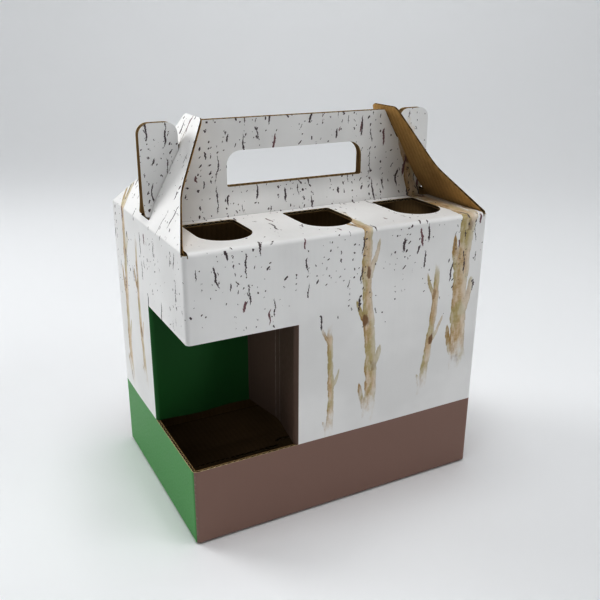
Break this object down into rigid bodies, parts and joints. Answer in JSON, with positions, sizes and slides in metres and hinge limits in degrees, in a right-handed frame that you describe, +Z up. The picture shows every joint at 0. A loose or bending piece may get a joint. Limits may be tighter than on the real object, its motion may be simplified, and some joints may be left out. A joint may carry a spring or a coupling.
{
  "type": "wine gable box",
  "caption": "Folded corrugated carry box for small wine bottles, with a gable handle, neck holes in its shoulders and a display niche at one corner.",
  "frame": {"origin": "on the floor under the middle of the box", "axes": "+X along the front from left to right, +Y from the front to the back, +Z up through the handle"},
  "size_m": [0.178, 0.123, 0.2133],
  "materials": {
    "printed_board": "matte print on corrugated board, brown inside"
  },
  "bodies": {
    "carton": {"carton": "printed_board"},
    "left_flap": {"left_end_flap": "printed_board"},
    "right_flap": {"right_end_flap": "printed_board"}
  },
  "joints": [
    {"name": "left_flap_fold", "type": "hinge", "parent": "carton", "child": "left_flap", "pos_m": [-0.089, 0, 0.16], "axis": [0, -1, 0], "range_deg": [0, 150]},
    {"name": "right_flap_fold", "type": "hinge", "parent": "carton", "child": "right_flap", "pos_m": [0.089, 0, 0.16], "axis": [0, 1, 0], "range_deg": [0, 150]}
  ]
}
